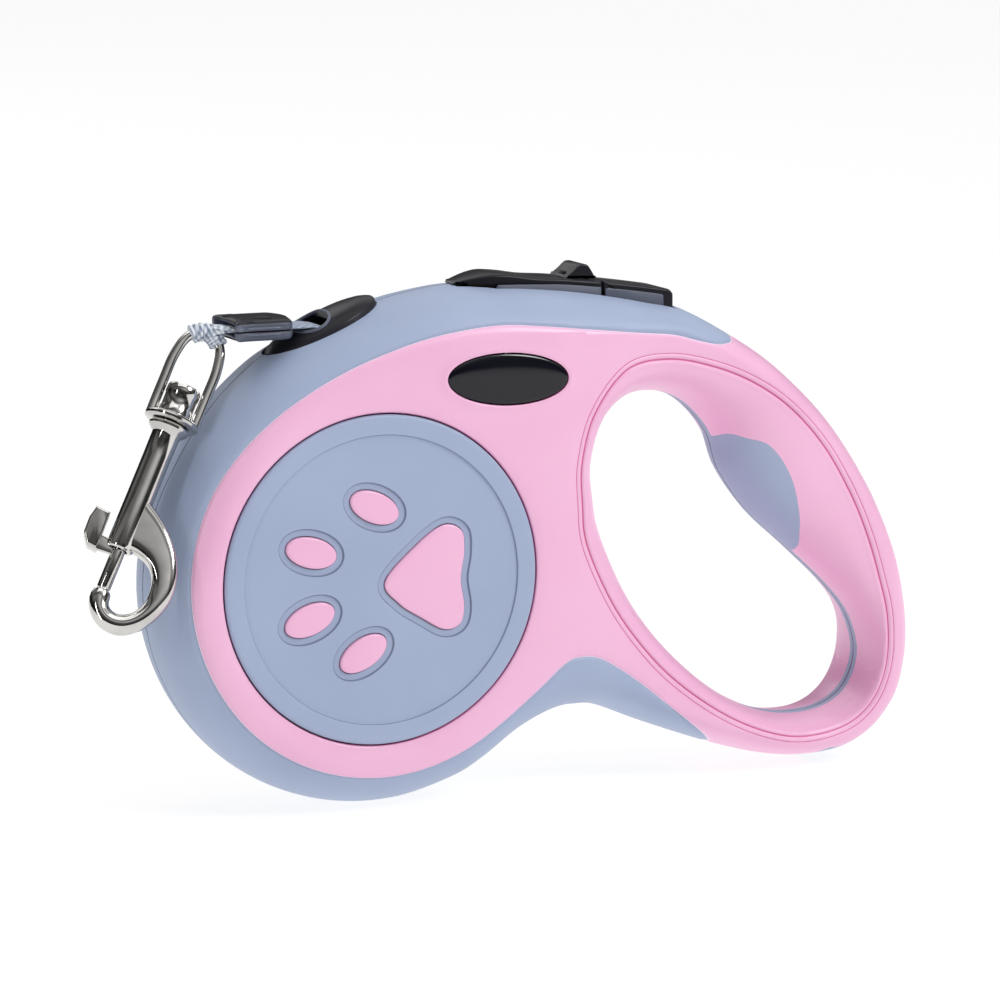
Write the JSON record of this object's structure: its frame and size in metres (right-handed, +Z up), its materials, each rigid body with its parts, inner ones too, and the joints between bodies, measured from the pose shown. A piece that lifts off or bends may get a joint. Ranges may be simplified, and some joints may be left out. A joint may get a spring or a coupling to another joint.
{
  "type": "retractable leash",
  "caption": "Hand-held retractable pet leash: round casing with ring handle, spring-wound tape, thumb brake with lock, stopper block and swivelling bolt snap.",
  "frame": {"origin": "middle of the grip that the palm closes on, in the casing's parting plane", "axes": "upright as held: +X from the drum to the handle, +Z up, front face towards -Y"},
  "size_m": [0.1992, 0.0394, 0.1161],
  "materials": {
    "pink_plastic": "smooth moulded ABS, satin to semi-gloss",
    "blue_grey_rubber": "satin soft-touch elastomer moulded over the casing",
    "gloss_black": "polished domed oval",
    "black_plastic": "moulded nylon, fine grain",
    "dark_grey_plastic": "moulded nylon, fine grain",
    "white_plastic": "moulded acetal",
    "tape_webbing": "flat woven polyester tape",
    "chrome": "bright plated zinc casting",
    "steel": "plain drawn steel"
  },
  "bodies": {
    "housing": {"front_shell": "pink_plastic", "rear_shell": "pink_plastic", "front_rim_band": "blue_grey_rubber", "rear_rim_band": "blue_grey_rubber", "front_finger_grip": "blue_grey_rubber", "rear_finger_grip": "blue_grey_rubber", "front_palm_pad": "blue_grey_rubber", "rear_palm_pad": "blue_grey_rubber", "front_disc": "blue_grey_rubber", "rear_disc": "blue_grey_rubber", "front_paw_inlay": "pink_plastic", "rear_paw_inlay": "pink_plastic", "front_badge": "gloss_black", "rear_badge": "gloss_black", "nozzle": "black_plastic", "tape_run": "tape_webbing", "axle": "steel", "axle_bush": "black_plastic", "axle_screw": "steel", "housing_screw_1": "steel", "housing_screw_2": "steel", "housing_screw_3": "steel", "housing_screw_4": "steel", "housing_screw_5": "steel", "button_base": "black_plastic", "power_spring": "steel", "brake_return_spring": "steel"},
    "spool": {"spool": "white_plastic", "spool_lid": "white_plastic", "tape_winding": "tape_webbing"},
    "brake_button": {"brake_button": "dark_grey_plastic"},
    "brake_pawl": {"brake_pawl": "black_plastic"},
    "lock_slider": {"lock_slider": "black_plastic"},
    "leash_end": {"stopper_upper": "black_plastic", "stopper_lower": "dark_grey_plastic"},
    "swivel": {"swivel_eye": "chrome", "tape_loop": "tape_webbing"},
    "hook": {"swivel_rivet": "chrome", "hook_body": "chrome", "bolt_spring": "steel"},
    "bolt": {"bolt_plunger": "chrome"}
  },
  "joints": [
    {"name": "leash_pull", "type": "slide", "parent": "housing", "child": "leash_end", "axis": [-1, 0, 0], "range_m": [0, 5], "stiffness_N_per_m": 0.5, "springref_m": -10, "deforming": ["tape_run"]},
    {"name": "spool_spin", "type": "hinge", "parent": "housing", "child": "spool", "pos_m": [-0.104, 0, -0.016], "axis": [0, -1, 0], "range_deg": [0, 9720.2], "deforming": ["power_spring"]},
    {"name": "brake_press", "type": "slide", "parent": "housing", "child": "brake_button", "axis": [-0.0797, 0, -0.9968], "range_m": [0, 0.0025], "stiffness_N_per_m": 1500, "springref_m": -0.001, "deforming": ["brake_return_spring"]},
    {"name": "pawl_slide", "type": "slide", "parent": "housing", "child": "brake_pawl", "axis": [-0.7615, 0, -0.6481], "range_m": [0, 0.0025]},
    {"name": "lock_slide", "type": "slide", "parent": "housing", "child": "lock_slider", "axis": [1, 0, 0], "range_m": [0, 0.004]},
    {"name": "eye_swing", "type": "hinge", "parent": "leash_end", "child": "swivel", "pos_m": [-0.1372, 0, 0.0374], "axis": [0, 1, 0], "range_deg": [0, 100], "deforming": ["tape_loop"]},
    {"name": "hook_swivel", "type": "hinge", "parent": "swivel", "child": "hook", "pos_m": [-0.1372, 0, 0.0374], "axis": [-0.481, -0.2385, -0.8437], "continuous": true},
    {"name": "bolt_slide", "type": "slide", "parent": "hook", "child": "bolt", "axis": [0.481, 0.2385, 0.8437], "range_m": [0, 0.008], "stiffness_N_per_m": 300, "springref_m": -0.003, "deforming": ["bolt_spring"]}
  ],
  "couplings": [
    {"joint": "spool_spin", "follows": "leash_pull", "rad_per_m": 33.929},
    {"joint": "pawl_slide", "follows": "brake_press", "ratio": 1}
  ]
}
